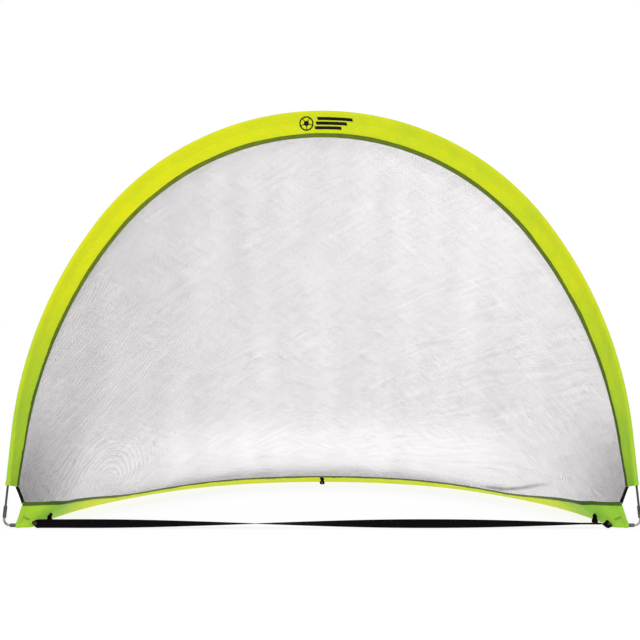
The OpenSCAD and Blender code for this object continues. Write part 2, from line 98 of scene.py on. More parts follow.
LEG_WAY = np.array([math.cos(LEG_SPLAY), math.sin(LEG_SPLAY)])
LEG_UP = np.array([-LEG_WAY[1], LEG_WAY[0]])
LEG_FOOT = np.array([HALF_WIDTH - ELBOW_R, ELBOW_R]) + ELBOW_R * LEG_WAY
LEG_TOP = LEG_FOOT + (LEG_STRAIGHT - LEG_FOOT[1]) / LEG_UP[1] * LEG_UP
CROWN_R, SIDE_R = two_arcs(LEG_TOP[0], CROWN_T - LEG_STRAIGHT, CROWN_ANGLE, math.pi / 2 - LEG_SPLAY)
SIDE_CENTRE = LEG_TOP - SIDE_R * LEG_WAY
BEND_END = np.array([BEND_X - KNUCKLE_R * math.sin(FRONT_ANGLE), KNUCKLE_R * (1 - math.cos(FRONT_ANGLE))])
BASE_DIR = np.array([-math.cos(FRONT_ANGLE), math.sin(FRONT_ANGLE)])
SOCKET_END = BEND_END + SOCKET * BASE_DIR
REAR_R, FLANK_R = two_arcs(SOCKET_END[0], BASE_DEPTH - SOCKET_END[1], REAR_ANGLE, FRONT_ANGLE)


# ---------- small helpers
def smooth(x, a, b):
    t = np.clip((np.asarray(x, float) - a) / (b - a), 0, 1)
    return t * t * (3 - 2 * t)


def unit(v):
    return v / np.linalg.norm(v, axis=-1, keepdims=True)


def waves(x, y, lengths, seed, count=9, spread=0.6):
    """Smooth noise in -1..1: a sum of sines about the wave length given, in seeded directions."""
    r = np.random.default_rng(seed)
    total = np.zeros(np.broadcast(x, y).shape)
    for _ in range(count):
        length = lengths * (1 + spread * r.uniform(-1, 1))
        a, phase = r.uniform(0, math.tau), r.uniform(0, math.tau)
        total += np.sin(math.tau * (x * math.cos(a) + y * math.sin(a)) / length + phase)
    return total / math.sqrt(count)


# ---------- rails: rod, band and face
class Rail:
    """Points along a sleeve from the left mouth (share -1) to the right mouth (share 1)."""

    def __init__(self, share, half, plan):
        share = np.asarray(share, float)
        side = np.where(share < 0, -1.0, 1.0)
        self.at = half * (1 - np.abs(share))
        self.length = share * half
        rod, band, face, across, width = plan(self.at)
        mirror = np.stack([side, np.ones_like(side), np.ones_like(side)], -1)
        self.rod, self.band = rod * mirror, band * mirror
        self.face, self.across, self.width = face * mirror, across * mirror, width

    def flat(self, p, q):
        """Points p along the band and q off its face."""
        return self.rod + np.asarray(p)[..., None] * self.band + np.asarray(q)[..., None] * self.face

    def pocket(self, a, r):
        """Points round the rod at angle a from the band."""
        return self.rod + r * (math.cos(a) * self.across + math.sin(a) * self.face)


LEG_PART = (LEG_STRAIGHT - ARCH_MOUTH) / LEG_UP[1]
SIDE_PART = (math.pi / 2 - CROWN_ANGLE - LEG_SPLAY) * SIDE_R
ARCH_HALF = LEG_PART + SIDE_PART + CROWN_ANGLE * CROWN_R
LEAD = MOUTH_X - BEND_X
BEND_DONE = LEAD + FRONT_ANGLE * KNUCKLE_R
SOCKET_DONE = BEND_DONE + SOCKET
FLANK_DONE = SOCKET_DONE + (FRONT_ANGLE - REAR_ANGLE) * FLANK_R
BASE_HALF = FLANK_DONE + REAR_ANGLE * REAR_R


def arch_plan(f):
    on_side, on_crown = f >= LEG_PART, f >= LEG_PART + SIDE_PART
    a = np.where(on_crown, math.pi / 2 - CROWN_ANGLE + (f - LEG_PART - SIDE_PART) / CROWN_R,
                 LEG_SPLAY + np.maximum(f - LEG_PART, 0) / SIDE_R)
    leg_x, leg_t = LEG_TOP[0] + (f - LEG_PART) * LEG_UP[0], LEG_STRAIGHT + (f - LEG_PART) * LEG_UP[1]
    x = np.where(on_crown, CROWN_R * np.cos(a),
                 np.where(on_side, SIDE_CENTRE[0] + SIDE_R * np.cos(a), leg_x))
    t = np.where(on_crown, CROWN_T - CROWN_R * (1 - np.sin(a)),
                 np.where(on_side, SIDE_CENTRE[1] + SIDE_R * np.sin(a), leg_t))
    rod = np.stack([x, HINGE_Y + t * math.sin(LEAN), HINGE_Z + t * math.cos(LEAN)], -1)
    inward = np.stack([-np.cos(a), -np.sin(a) * math.sin(LEAN), -np.sin(a) * math.cos(LEAN)], -1)
    low = np.clip(1 - t / CROWN_T, 0, 1)
    turn = np.radians(CROWN_TURN + LEG_TURN * low ** TURN_POWER)[..., None]
    band = np.cos(turn) * inward + np.sin(turn) * BACK
    face = np.sin(turn) * inward - np.cos(turn) * BACK
    return rod, band, face, band, np.full_like(f, ARCH_BAND_W)


def base_stretches(e):
    """Where the base rod is in its barrel, its bend, its socket or its flank; the rest is the rear."""
    return [e < LEAD, e < BEND_DONE, e < SOCKET_DONE, e < FLANK_DONE]


def base_heading(e):
    return np.select(base_stretches(e), [
        np.zeros_like(e), (e - LEAD) / KNUCKLE_R, np.full_like(e, FRONT_ANGLE),
        FRONT_ANGLE - (e - SOCKET_DONE) / FLANK_R], REAR_ANGLE - (e - FLANK_DONE) / REAR_R)


def base_plan(e):
    a = base_heading(e)
    sin, cos = np.sin(a), np.cos(a)
    straight = np.maximum(e - BEND_DONE, 0)
    x = np.select(base_stretches(e), [
        MOUTH_X - e, BEND_X - KNUCKLE_R * sin, BEND_END[0] + straight * BASE_DIR[0],
        SOCKET_END[0] + FLANK_R * (sin - math.sin(FRONT_ANGLE))], REAR_R * sin)
    y = np.select(base_stretches(e), [
        np.zeros_like(e), KNUCKLE_R * (1 - cos), BEND_END[1] + straight * BASE_DIR[1],
        SOCKET_END[1] + FLANK_R * (cos - math.cos(FRONT_ANGLE))], BASE_DEPTH - REAR_R * (1 - cos))
    rod = np.stack([x, HINGE_Y + y, np.full_like(x, HINGE_Z)], -1)
    settled = base_heading(np.array(FAN_LENGTH))
    fan = np.where(e > FAN_LENGTH, a, END_FAN + (settled - END_FAN) * smooth(e, -0.03, FAN_LENGTH) ** 0.85)
    rise = np.radians(FRONT_RISE + (REAR_RISE - FRONT_RISE) * smooth(e, 0.06, 0.64)
                      + MOUTH_RISE * (1 - smooth(e, 0, 0.09)))
    band = np.stack([-np.sin(fan) * np.cos(rise), -np.cos(fan) * np.cos(rise), np.sin(rise)], -1)
    along = np.stack([cos, -sin, np.zeros_like(a)], -1)
    face = unit(np.cross(along, band))
    across = unit(band - (band * along).sum(-1, keepdims=True) * along)
    return rod, band, face, across, FRONT_END_W + (BASE_BAND_W - FRONT_END_W) * smooth(e, 0, 0.07)


def fold_share(points):
    """How far each point follows the fold: its angle about the hinge, 0 on the ground, 1 on the arch."""
    angle = np.arctan2(points[:, 2] - HINGE_Z, points[:, 1] - HINGE_Y)
    return np.clip(angle / (math.pi / 2 - LEAN), 0, 1.02)


# ---------- meshes
def mesh_piece(name, verts, faces, material, strip=None, **values):
    """A smooth mesh object; strip is its fabric coordinate, values are further point attributes."""
    mesh = bpy.data.meshes.new(name)
    mesh.from_pydata([tuple(v) for v in np.asarray(verts, float).reshape(-1, 3)], [], faces)
    mesh.materials.append(material)
    mesh.polygons.foreach_set("use_smooth", [True] * len(mesh.polygons))
    if strip is not None:
        data = mesh.attributes.new("strip", "FLOAT_VECTOR", "POINT").data
        data.foreach_set("vector", np.asarray(strip, np.float32).ravel())
    for key, value in values.items():
        data = mesh.attributes.new(key, "FLOAT", "POINT").data
        data.foreach_set("value", np.asarray(value, np.float32).ravel())
    skin = bmesh.new()
    skin.from_mesh(mesh)
    bmesh.ops.recalc_face_normals(skin, faces=skin.faces)
    skin.to_mesh(mesh)
    skin.free()
    mesh.update()
    piece = bpy.data.objects.new(name, mesh)
    bpy.context.scene.collection.objects.link(piece)
    return piece


def grid_faces(m, n, ring=False, first=0):
    """Quads over m rows of n points; ring closes each row."""
    faces = []
    for i in range(m - 1):
        for j in range(n if ring else n - 1):
            k = (j + 1) % n
            a = first + i * n
            faces.append((a + j, a + k, a + n + k, a + n + j))
    return faces


def tube(name, rows, material, strip, hoop=False, **values):
    """A closed skin over rows of ring points: capped at both ends, or a hoop joined end to end."""
    m, n = rows.shape[:2]
    last = (m - 1) * n
    faces = grid_faces(m, n, ring=True)
    if hoop:
        faces += [(last + j, last + (j + 1) % n, (j + 1) % n, j) for j in range(n)]
    else:
        faces += [tuple(range(n - 1, -1, -1)), tuple(last + j for j in range(n))]
    return mesh_piece(name, rows, faces, material, strip, **values)


def strands(centres, tangents, normals, length, width, height):
    """Points and faces of short plump stitches lying along the tangents, sunk a little into the cloth."""
    body = np.array([(-1.0, 0.35), (-0.72, 0.85), (0.0, 1.0), (0.72, 0.85), (1.0, 0.35)])
    around = np.arange(6) * math.tau / 6
    sides = unit(np.cross(normals, tangents))
    points = []
    for along, fat in body:
        for a in around:
            points.append(centres + along * length / 2 * tangents + fat * width / 2 * math.cos(a) * sides
                          + (fat * height * math.sin(a) - (1 - fat) * height) * normals)
    points = np.stack(points, 1)
    one = grid_faces(len(body), 6, ring=True)
    one.append((5, 4, 3, 2, 1, 0))
    one.append(tuple(24 + j for j in range(6)))
    faces = [tuple(k + 30 * i for k in f) for i in range(len(points)) for f in one]
    return points.reshape(-1, 3), faces


def slabs(grids, lift, depth, surface):
    """Closed thin patches over (along, across) grids, laid on a surface function."""
    points, faces, strip = [], [], []
    for grid in grids:
        m, n = grid.shape[:2]
        first = sum(len(p) for p in points)
        for offset in (lift, lift - depth):
            points.append(surface(grid[..., 0].ravel(), grid[..., 1].ravel(), offset))
            strip.append(np.concatenate([grid.reshape(-1, 2), np.zeros((m * n, 1))], 1))
        top = grid_faces(m, n, first=first)
        faces += top
        faces += [tuple(k + m * n for k in reversed(f)) for f in top]
        rim = ([j for j in range(n - 1)] + [i * n + n - 1 for i in range(m - 1)]
               + [(m - 1) * n + j for j in range(n - 1, 0, -1)] + [i * n for i in range(m - 1, 0, -1)])
        for a, b in zip(rim, rim[1:] + rim[:1]):
            faces.append((first + b, first + a, first + m * n + a, first + m * n + b))
    return np.concatenate(points), faces, np.concatenate(strip)


def dress(node=None):
    """Hide the CAD node the piece stands for, when one is given."""
    if node:
        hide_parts(node)


def blend_fabric(piece, share, node=None):
    """Bake the piece's transform and hide the CAD node it stands for; share, how much each point would follow the
    arch, is not used.
    """
    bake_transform(piece)
    dress(node)


def strip_of(along, across):
    """Fabric coordinates; along is given for each row of points."""
    along = np.repeat(np.asarray(along)[:, None], across.shape[1], 1)
    return np.stack([along, across, np.zeros_like(across)], -1)


# ---------- node helpers
class Graph:
    """A material's nodes, built by short calls."""

    def __init__(self, name):
        self.material = bpy.data.materials.new(name)
        self.material.use_nodes = True
        self.tree = self.material.node_tree
        self.tree.nodes.clear()
        self.out = self.tree.nodes.new("ShaderNodeOutputMaterial")

    def node(self, kind, inputs=None, **settings):
        made = self.tree.nodes.new("ShaderNode" + kind)
        for key, value in settings.items():
            setattr(made, key, value)
        for key, value in (inputs or {}).items():
            if isinstance(value, bpy.types.NodeSocket):
                self.tree.links.new(value, made.inputs[key])
            else:
                made.inputs[key].default_value = value
        return made

    def math(self, operation, a, b=0.0, c=0.0, clamp=False):
        made = self.node("Math", {0: a, 1: b, 2: c}, operation=operation, use_clamp=clamp)
        return made.outputs[0]

    def value(self, name):
        return self.node("Attribute", attribute_name=name).outputs["Fac"]

    def strip(self):
        """The fabric coordinates: along, across and side, in metres."""
        vector = self.node("Attribute", attribute_name="strip").outputs["Vector"]
        parts = self.node("SeparateXYZ", {0: vector}).outputs
        return vector, parts[0], parts[1]

    def scaled(self, vector, scale):
        return self.node("Mapping", {"Vector": vector, "Scale": scale}).outputs[0]

    def turned(self, vector, angle):
        return self.node("Mapping", {"Vector": vector, "Rotation": (0, 0, angle)}).outputs[0]

    def noise(self, vector, scale, detail=3.0):
        return self.node("TexNoise", {"Vector": vector, "Scale": scale, "Detail": detail}).outputs["Fac"]

    def mix(self, factor, a, b, blend="MIX"):
        made = self.tree.nodes.new("ShaderNodeMix")
        made.data_type, made.blend_type = "RGBA", blend
        for socket, value in ((made.inputs[0], factor), (made.inputs[6], a), (made.inputs[7], b)):
            if isinstance(value, bpy.types.NodeSocket):
                self.tree.links.new(value, socket)
            else:
                socket.default_value = value
        return made.outputs[2]

    def ramp(self, factor, stops):
        made = self.node("ValToRGB", {"Fac": factor})
        band = made.color_ramp.elements
        while len(band) < len(stops):
            band.new(0.5)
        for element, (place, colour) in zip(band, stops):
            element.position, element.color = place, (*colour, 1)
        return made.outputs["Color"]

    def bump(self, height, strength, distance):
        return self.node("Bump", {"Height": height, "Strength": strength, "Distance": distance}).outputs[0]

    def principled(self, inputs):
        return self.node("BsdfPrincipled", inputs).outputs[0]

    def plus(self, a, b):
        return self.math("ADD", a, b)

    def times(self, a, b):
        return self.math("MULTIPLY", a, b)

    def fit(self, a, scale, base):
        return self.math("MULTIPLY_ADD", a, scale, base)

    def surface(self, shader):
        self.tree.links.new(shader, self.out.inputs["Surface"])
        return self.material


def thread_wave(g, coordinate, pitch):
    """0..1 wave across threads of the given pitch."""
    turns = g.times(coordinate, math.tau / pitch)
    return g.fit(g.math("SINE", turns), 0.5, 0.5)


def plain_weave(g, along, across, pitch):
    """Height of a plain weave: over and under threads both ways."""
    a = g.math("SINE", g.times(along, math.pi / pitch))
    b = g.math("SINE", g.times(across, math.pi / pitch))
    return g.fit(g.times(a, b), 0.5, 0.5)


def taffeta():
    """Coated neon cloth with painted light and shade: bright yellow where lit up high, greener and darker in shade
    towards the ground, with a fine weave.
    """
    g = Graph("neon_taffeta")
    vector, along, across = g.strip()
    patch = g.noise(vector, 9.0, 3.0)
    fine = g.noise(vector, 160.0, 2.0)
    # painted light and shade of creases: long diagonal streaks that lift and lower the tone
    painted_crease_shading = g.noise(g.scaled(g.turned(vector, 0.9), (70.0, 11.0, 1.0)), 1.0, 3.0)
    tone = g.plus(g.value("tone"), g.fit(patch, 0.36, -0.18))
    tone = g.plus(tone, g.fit(painted_crease_shading, 0.34, -0.17))
    # the ramp turns the painted light and shade into colour: green where shaded, yellow where lit
    colour = g.ramp(tone, [
        (0.00, (0.170, 0.480, 0.050)), (0.22, (0.310, 0.600, 0.042)),
        (0.55, (0.530, 0.700, 0.024)), (0.85, (0.720, 0.780, 0.012)), (1.00, (0.800, 0.810, 0.009))])
    weave = plain_weave(g, along, across, 0.0011)
    # painted shade: the weave's low threads darken the colour; the fine noise varies the tone at random
    shade = g.fit(weave, 0.10, 0.92)
    shade = g.times(shade, g.fit(fine, 0.12, 0.94))
    colour = g.mix(1.0, colour, g.node("CombineColor", {0: shade, 1: shade, 2: shade}).outputs[0], "MULTIPLY")
    normal = g.bump(g.plus(weave, g.times(g.noise(vector, 60.0), 1.2)), 0.35, 0.0005)
    # the emission is a painted glow that lifts the neon cloth's brightness, standing in for its fluorescence
    cloth = g.principled({
        "Base Color": colour, "Roughness": g.fit(patch, 0.2, 0.42),
        "Specular IOR Level": 0.12, "Sheen Weight": 0.03, "Sheen Roughness": 0.4,
        "Emission Color": colour, "Emission Strength": 0.10, "Normal": normal})
    glow = g.node("BsdfTranslucent", {"Color": colour}).outputs[0]
    return g.surface(g.node("MixShader", {0: 0.15, 1: cloth, 2: glow}).outputs[0])


def mesh_over_taffeta():
    """The net's hem stitched over the sleeve: black mesh on yellow-green."""
    g = Graph("hem_mesh_over_taffeta")
    vector, along, across = g.strip()
    # the taffeta under the mesh follows the sleeves' painted light and shade: darker green low down, lighter up
    # high
    under = g.ramp(g.value("tone"), [
        (0.0, (0.045, 0.11, 0.013)), (0.5, (0.14, 0.26, 0.014)), (1.0, (0.30, 0.40, 0.014))])
    lines = g.math("MAXIMUM", thread_wave(g, g.plus(along, across), 0.0026),
                   thread_wave(g, g.math("SUBTRACT", along, across), 0.0026))
    cover = g.fit(g.math("GREATER_THAN", lines, 0.80), 0.55, 0.18)
    patch = g.noise(vector, 26.0)
    cover = g.math("ADD", cover, g.fit(patch, 0.4, -0.2), clamp=True)
    colour = g.mix(cover, under, (0.018, 0.024, 0.012, 1))
    normal = g.bump(lines, 0.6, 0.0005)
    return g.surface(g.principled({
        "Base Color": colour, "Roughness": 0.62, "Specular IOR Level": 0.2, "Normal": normal}))


def net_mesh():
    """Fine diamond mesh: black yarn and air. The attribute thread is the yarn's share of a cell's width, with
    painted light and shade laid into it.
    """
    g = Graph("black_net_mesh")
    vector, along, across = g.strip()
    pitch = 0.0026

    def line(coordinate):
        place = g.math("FRACT", g.math("DIVIDE", coordinate, pitch))
        return g.math("LESS_THAN", place, thread_share_and_painted_shade)

    streaks = g.plus(g.noise(g.scaled(g.turned(vector, 0.62), (10.0, 120.0, 1.0)), 1.0, 2.0),
                     g.noise(g.scaled(g.turned(vector, -0.50), (8.0, 95.0, 1.0)), 1.0, 2.0))
    # the yarn share read here holds painted light and shade: more yarn at corners, sides, bottom edge and a
    # crease, less low in the middle
    thread_share_and_painted_shade = g.plus(g.value("thread"), g.fit(streaks, 0.11, -0.11))

    def beat(centre, pitch, place, depth):
        reach = g.node("VectorMath", {0: vector, 1: centre}, operation="DISTANCE").outputs["Value"]
        wave = g.math("SINE", g.times(reach, math.tau / pitch))
        return g.times(wave, g.times(g.value(place), depth))

    thread_share_and_painted_shade = g.plus(thread_share_and_painted_shade, beat((-1.30, 1.09, 0.0), 0.0098, "fan", 0.022))
    thread_share_and_painted_shade = g.plus(thread_share_and_painted_shade, beat((-0.66, 0.22, 0.0), 0.0115, "arcs", 0.035))
    yarn = g.math("MAXIMUM", line(g.plus(along, across)), line(g.math("SUBTRACT", along, across)))
    yarn = g.times(yarn, g.value("front"))
    patch = g.noise(vector, 5.0)
    colour = g.ramp(patch, [(0.3, (0.035, 0.036, 0.037)), (0.7, (0.070, 0.071, 0.074))])
    cloth = g.principled({
        "Base Color": colour, "Roughness": 0.6, "Specular IOR Level": 0.25})
    tint = g.mix(g.value("front"), (1, 1, 1, 1), (1.0, 0.968, 0.976, 1))
    air = g.node("BsdfTransparent", {"Color": tint}).outputs[0]
    return g.surface(g.node("MixShader", {0: yarn, 1: air, 2: cloth}).outputs[0])


def webbing(name, colour, rib=0.0016):
    """Ribbed black webbing with a chevron of thicker yarn and worn, slightly grey high spots."""
    g = Graph(name)
    vector, along, across = g.strip()
    ribs = thread_wave(g, across, rib)
    chevron = g.times(g.math("PINGPONG", across, rib * 2), 0.8)
    picks = thread_wave(g, g.plus(along, chevron), rib * 0.9)
    height = g.plus(g.times(ribs, 0.6), g.times(picks, 0.5))
    wear = g.times(g.math("GREATER_THAN", height, 0.8), g.noise(vector, 90.0))
    pale = tuple(min(1.0, c * 3 + 0.01) for c in colour)
    mixed = g.mix(g.times(wear, 0.35), (*colour, 1), (*pale, 1))
    normal = g.bump(height, 0.8, 0.0005)
    return g.surface(g.principled({
        "Base Color": mixed, "Roughness": 0.75, "Specular IOR Level": 0.03,
        "Normal": normal}))


def thread(name, colour):
    """Sewing thread: a fine twist, with a painted highlight on its high side."""
    g = Graph(name)
    place = g.node("TexCoord").outputs["Object"]
    twist = thread_wave(g, g.node("SeparateXYZ", {0: place}).outputs[0], 0.0006)
    pale = tuple(min(1, c * 1.8 + 0.01) for c in colour)
    # painted highlight: the twist's high side mixed towards pale
    shade = g.mix(g.times(twist, 0.5), (*colour, 1), (*pale, 1))
    return g.surface(g.principled({
        "Base Color": shade, "Roughness": 0.55, "Sheen Weight": 0.2,
        "Normal": g.bump(twist, 0.4, 0.0002)}))


def plated_steel(name, light, dark, rough):
    """Drawn and plated steel: long fine scratches, clouded plating and dark rubbed spots."""
    g = Graph(name)
    place = g.node("TexCoord").outputs["Object"]
    cloud = g.noise(place, 60.0, 4.0)
    scratch = g.noise(g.scaled(place, (1.0, 1.0, 0.08)), 900.0, 2.0)
    wear = g.fit(scratch, 0.3, g.times(cloud, 0.7))
    colour = g.ramp(wear, [(0.35, dark), (0.62, light)])
    normal = g.bump(g.plus(scratch, g.times(cloud, 0.6)), 0.25, 0.0004)
    return g.surface(g.principled({
        "Base Color": colour, "Metallic": 0.92, "Roughness": g.fit(cloud, 0.25, rough),
        "Normal": normal}))


def glass_fibre():
    """Pultruded rod: dark resin with pale fibres along it."""
    g = Graph("pultruded_glass_fibre")
    place = g.node("TexCoord").outputs["Object"]
    fibres = g.noise(g.scaled(place, (1.0, 1.0, 0.05)), 1500.0, 2.0)
    colour = g.ramp(fibres, [(0.40, (0.012, 0.014, 0.011)), (0.70, (0.045, 0.050, 0.040))])
    return g.surface(g.principled({
        "Base Color": colour, "Roughness": 0.46, "Coat Weight": 0.1, "Coat Roughness": 0.3,
        "Normal": g.bump(fibres, 0.3, 0.0002)}))


def print_ink():
    """Screen-printed ink on cloth: near black, the weave showing through, thin in places."""
    g = Graph("printed_ink")
    vector, along, across = g.strip()
    weave = plain_weave(g, along, across, 0.0011)
    thin = g.noise(vector, 140.0)
    worn = g.times(g.math("GREATER_THAN", thin, 0.66), 0.25)
    colour = g.mix(worn, (0.006, 0.006, 0.005, 1), (0.10, 0.11, 0.02, 1))
    return g.surface(g.principled({
        "Base Color": colour, "Roughness": 0.5, "Specular IOR Level": 0.1,
        "Normal": g.bump(weave, 0.4, 0.0004)}))


TAFFETA = taffeta()
HEM_MESH = mesh_over_taffeta()
NET = net_mesh()
STRAP = webbing("black_webbing", (0.0036, 0.0031, 0.0034))
BINDING = webbing("black_binding", (0.0050, 0.0050, 0.0050), rib=0.0011)
DARK_THREAD = thread("dark_thread", (0.020, 0.030, 0.012))
BROWN_THREAD = thread("bartack_thread", (0.070, 0.045, 0.020))
LIME_THREAD = thread("lime_thread", (0.30, 0.42, 0.03))
INK = print_ink()


# ---------- sleeves
FACE_ROWS = 15
POCKET_STEPS = 14
POCKET_GIRTH = 0.0207  # cloth round the rod, from the front face to the back face


def sleeve_painted_shading(points):
    """Painted light and shade on the taffeta's one colour: near 1 the bright yellow of the lit crown, near 0 the
    shaded green by the ground.
    """
    x, y, z = points[..., 0], points[..., 1], points[..., 2]
    # painted light: brighter with height, and brighter still on the upper left where the key light falls
    tone = 0.24 + 0.51 * smooth(z, 0.0, 0.80) + 0.16 * smooth(-x, -0.3, 0.5) * smooth(z, 0.35, 0.95)
    # painted light on the low rear of the ground loop, which lies flat facing up into the light, and a little on
    # the far left low down
    tone += 0.58 * smooth(y, -0.42, -0.12) * (1 - smooth(z, 0.06, 0.30))
    tone += 0.07 * smooth(-x, 0.60, 0.85) * (1 - smooth(z, 0.20, 0.45))
    # painted shade: darker close to the ground at the two front corners
    return tone - 0.08 * np.exp(-((np.abs(x) - 0.775) / 0.035) ** 2) * (1 - smooth(z, 0.06, 0.12))


def cloth_lift(length, at, p, width, side, seed):
    """How far the sleeve's outer skin stands off the band's middle plane, p in from the rod."""
    share = np.clip(p / width, 0, 1)
    middle = np.sin(math.pi * share)
    settle = 0.35 + 0.65 * smooth(at, 0.0, 0.10)
    fold = waves(length, p * 1.4, 0.24, seed) * 0.0016 * middle
    tuck = waves(length + 0.9 * p, p * 0.15, 0.052, seed + 1) * 0.0007 * middle
    by_seam = share ** 2 * smooth(1 - share, 0, 0.12)
    gather = waves(length + 0.5 * p, p * 0.2, 0.021, seed + 2) * 0.0006 * by_seam
    puff = np.maximum(0.0011 * middle * (1 + 0.6 * waves(length, p, 0.11, seed + 3 + side)), 0)
    pocket = EDGE + (POCKET_R - EDGE) * (1 - smooth(p, 0.0, 0.030)) ** 1.15
    return (fold + tuck + gather) * settle + side * (pocket + puff)


def sleeve_rings(rail, grow, seed):
    """Rings of points round the sleeve, from its seam edge over the front, rod and back."""
    rings, across = [], []
    shares = np.linspace(1, 0, FACE_ROWS)
    r = POCKET_R + grow

    def skin(share, side):
        p = share * (rail.width + grow)
        if share == 0:
            return rail.pocket(side * math.pi / 2, r), p
        lift = cloth_lift(rail.length, rail.at, share * rail.width, rail.width, side, seed)
        return rail.flat(p, lift + side * grow), p

    for share in shares:
        point, p = skin(share, 1)
        rings.append(point)
        across.append(p)
    for a in np.linspace(math.pi / 2, 3 * math.pi / 2, POCKET_STEPS)[1:-1]:
        rings.append(rail.pocket(a, r))
        across.append(np.full_like(rail.width, -POCKET_R * (a - math.pi / 2)))
    for share in shares[::-1]:
        point, p = skin(share, -1)
        rings.append(point)
        across.append(-POCKET_GIRTH - p)
    return np.stack(rings, 1), np.stack(across, 1)


def in_from_rod(across):
    """How far in from the rod each point of the rings lies, on the front or on the back."""
    on_back = across < 0.0001 - POCKET_GIRTH
    return np.where(on_back, -POCKET_GIRTH - across, np.maximum(across, 0)).ravel()


class Host:
    """One of the two sleeves: its rail, its cloth seed, and how cloth on it follows the fold."""

    def __init__(self, name, plan, half, seed, node):
        self.name, self.plan, self.half, self.seed, self.node = name, plan, half, seed, node

    def rail(self, share):
        return Rail(share, self.half, self.plan)

    def at_length(self, length):
        return self.rail(np.asarray(length) / self.half)

    def surface(self, length, p, offset, side=1):
        """Points on the sleeve's outer skin."""
        rail = self.at_length(length)
        lift = cloth_lift(rail.length, rail.at, p, rail.width, side, self.seed)
        return rail.flat(p, lift + side * offset)

    def follow(self, points, p):
        """Share of the fold each point takes: cloth near a rod keeps to it, free cloth lies between."""
        loose, between = smooth(np.abs(p), 0.004, 0.030), fold_share(points)
        if self.name == "arch":
            return 1 - loose * (1 - between)
        for place in LOOP_PLACES:
            between = between * (1 - np.exp(-((np.linalg.norm(points - place, axis=1)) / 0.045) ** 2))
        return between * loose


LOOP_JOINTS = {j["name"].split("_")[0]: j for j in frame["joints"] if j["name"].endswith("loop_swing")}
# the places where the peg loops hang: near them the base cloth's share of the fold is cut back
LOOP_PLACES = [np.array(j["pos_m"]) for j in LOOP_JOINTS.values()]
ARCH = Host("arch", arch_plan, ARCH_HALF, 11, "arch_sleeve")
BASE = Host("base", base_plan, BASE_HALF, 23, "base_sleeve")


def make_sleeve(host):
    """A closed sleeve with its cloth turned in at both mouths."""
    reach = 0.030 / host.half
    inner = np.linspace(-1 + reach, -1, 5)
    fine = 1 - np.linspace(0, 1, 70) ** 1.4 * 0.16
    outer = np.concatenate([-fine, np.linspace(-0.84, 0.84, 430)[1:-1], fine[::-1]])
    rail, rail_in = host.rail(outer), host.rail(inner)
    rings, across = sleeve_rings(rail, 0.0, host.seed)
    rings_in, across_in = sleeve_rings(rail_in, -0.0006, host.seed)
    rings_far, _ = sleeve_rings(host.rail(-inner[::-1]), -0.0006, host.seed)
    points = np.concatenate([rings_in, rings, rings_far])
    across = np.concatenate([across_in, across, across_in[::-1]])
    length = np.concatenate([rail_in.length, rail.length, -rail_in.length[::-1]])
    piece = tube(host.name + "_sleeve_cloth", points, TAFFETA, strip_of(length, across),
                 tone=sleeve_painted_shading(points))
    blend_fabric(piece, host.follow(points.reshape(-1, 3), in_from_rod(across)), host.node)


def make_mouth_hem(host, side):
    """The sleeve's mouth folded over and stitched: a band 11 mm deep round the whole opening."""
    word = "left" if side < 0 else "right"
    profile = [(0.0100, 0.0003), (0.0112, 0.0005), (0.0110, 0.0009), (0.0095, 0.00105), (0.0080, 0.0007),
               (0.0062, 0.00105), (0.0025, 0.00115), (-0.0002, 0.0010), (-0.0009, 0.0002), (-0.0006, -0.0008),
               (0.0010, -0.0012), (0.0030, -0.0011)]
    rows, acrosses = [], []
    for f, grow in profile:
        rings, across = sleeve_rings(host.rail(np.array([side * (1 - f / host.half)])), grow, host.seed)
        rows.append(rings[0])
        acrosses.append(across[0])
    rows, across = np.stack(rows), np.stack(acrosses)
    piece = tube(f"{host.name}_mouth_hem_{word}", rows, TAFFETA, strip_of([f for f, _ in profile], across),
                 hoop=True, tone=sleeve_painted_shading(rows))
    blend_fabric(piece, host.follow(rows.reshape(-1, 3), in_from_rod(across)),
                 f"{host.name}_end_hem_{word}")


for host in (ARCH, BASE):
    make_sleeve(host)
    for side in (-1, 1):
        make_mouth_hem(host, side)


# ---------- seams and stitching
SEAM_W = 0.0118
STITCH_PITCH, STITCH_LIFT = 0.0052, 0.0012
POCKET_ROW = 0.0235


